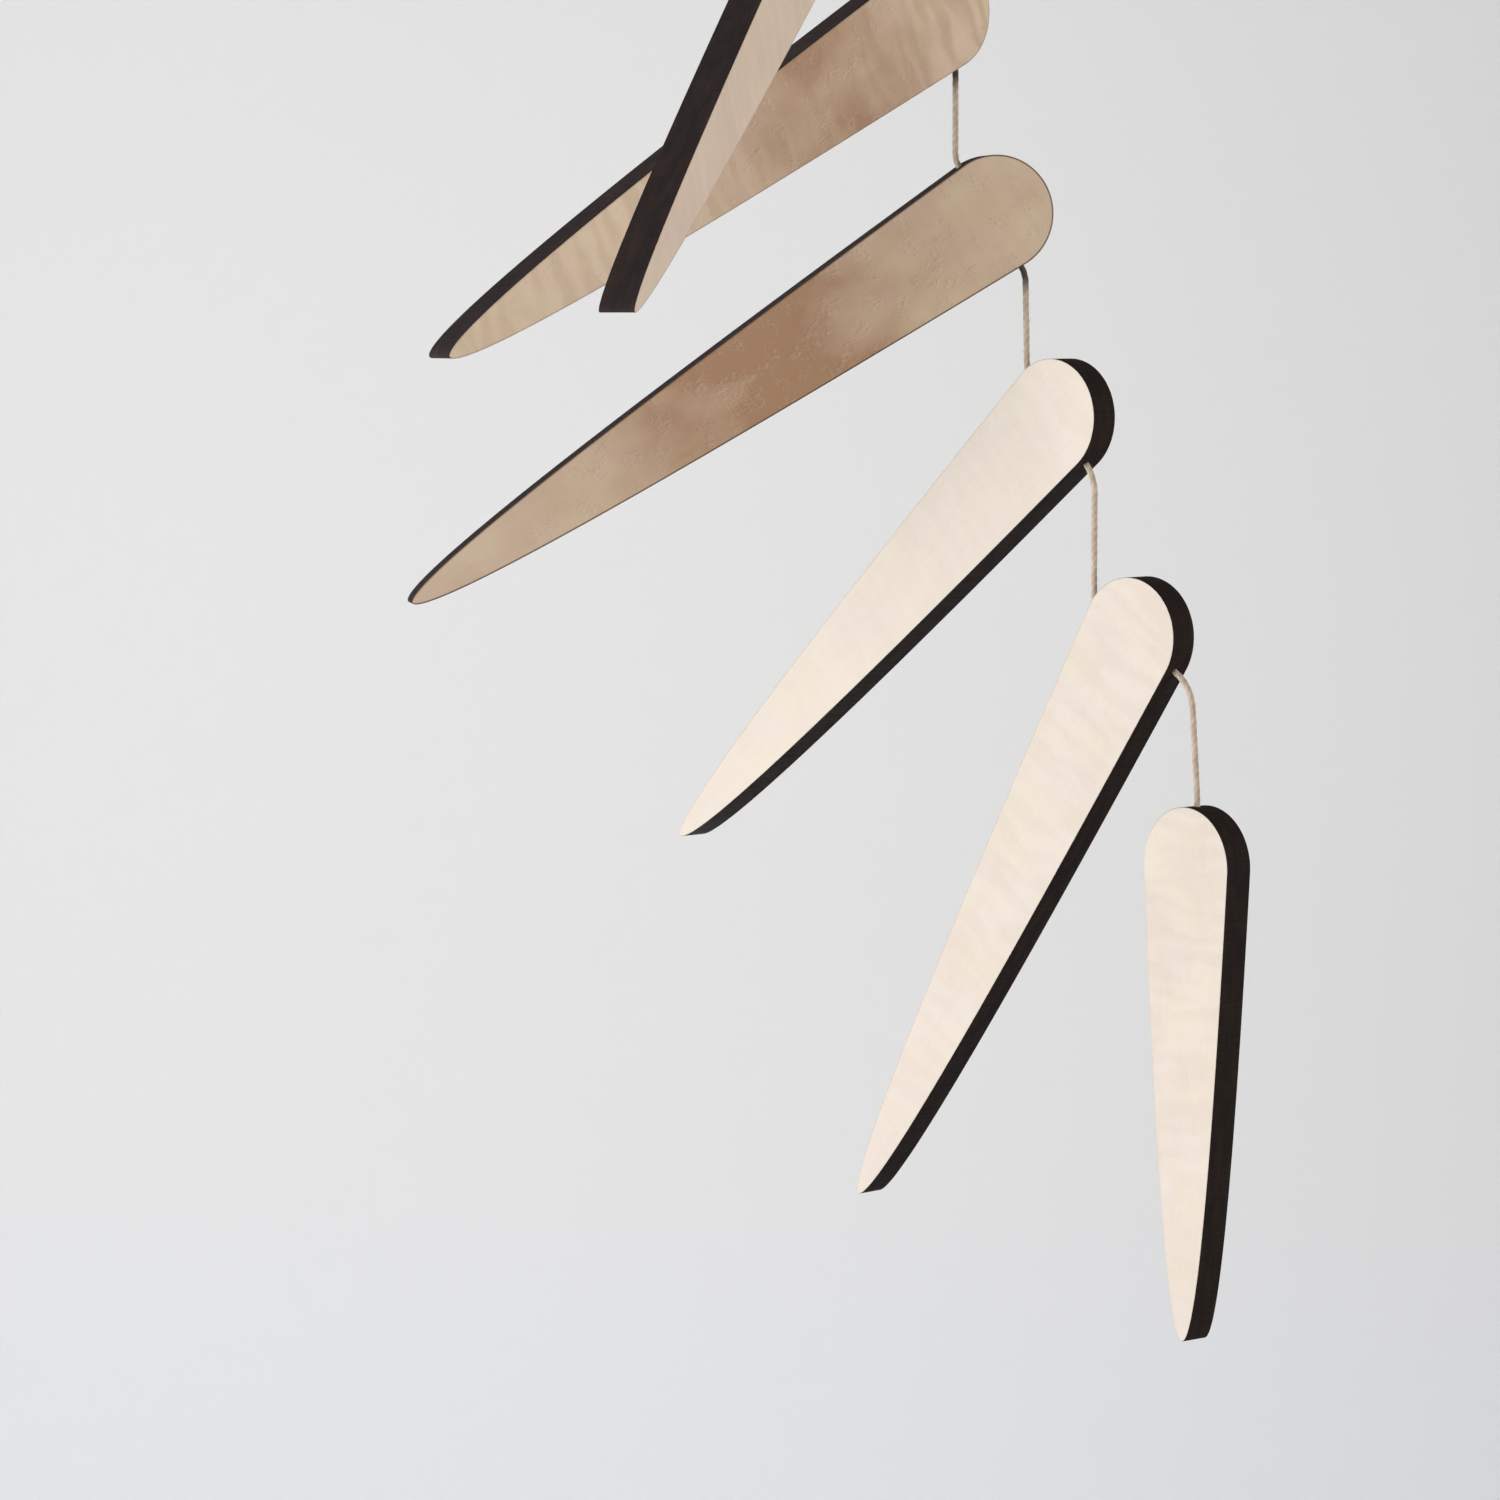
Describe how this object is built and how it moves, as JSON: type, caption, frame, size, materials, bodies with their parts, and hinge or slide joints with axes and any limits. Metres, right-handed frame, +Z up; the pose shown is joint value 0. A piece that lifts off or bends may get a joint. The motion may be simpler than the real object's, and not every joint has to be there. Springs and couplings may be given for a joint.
{
  "type": "hanging mobile sculpture",
  "caption": "Hanging mobile of flat tapered wooden blades with dark edges, threaded one below the other on a cord so that their tips droop and fan round.",
  "frame": {"origin": "top of the hanging loop, where a hook carries the mobile", "axes": "+Z up the plumb line; +Y the way the picture looks; the blades' tips fan out towards -X"},
  "size_m": [0.1698, 0.2567, 0.394],
  "materials": {
    "veneered_plywood": "pale curly maple veneer on both faces, bare and finely sanded, with near-black charred edges",
    "twine": "thin twisted natural twine, slightly fuzzy"
  },
  "bodies": {
    "root": {"blade_1": "veneered_plywood", "blade_2": "veneered_plywood", "blade_3": "veneered_plywood", "blade_4": "veneered_plywood", "blade_5": "veneered_plywood", "blade_6": "veneered_plywood", "hanging_cord": "twine", "hanging_loop": "twine", "loop_knot": "twine"}
  },
  "joints": []
}
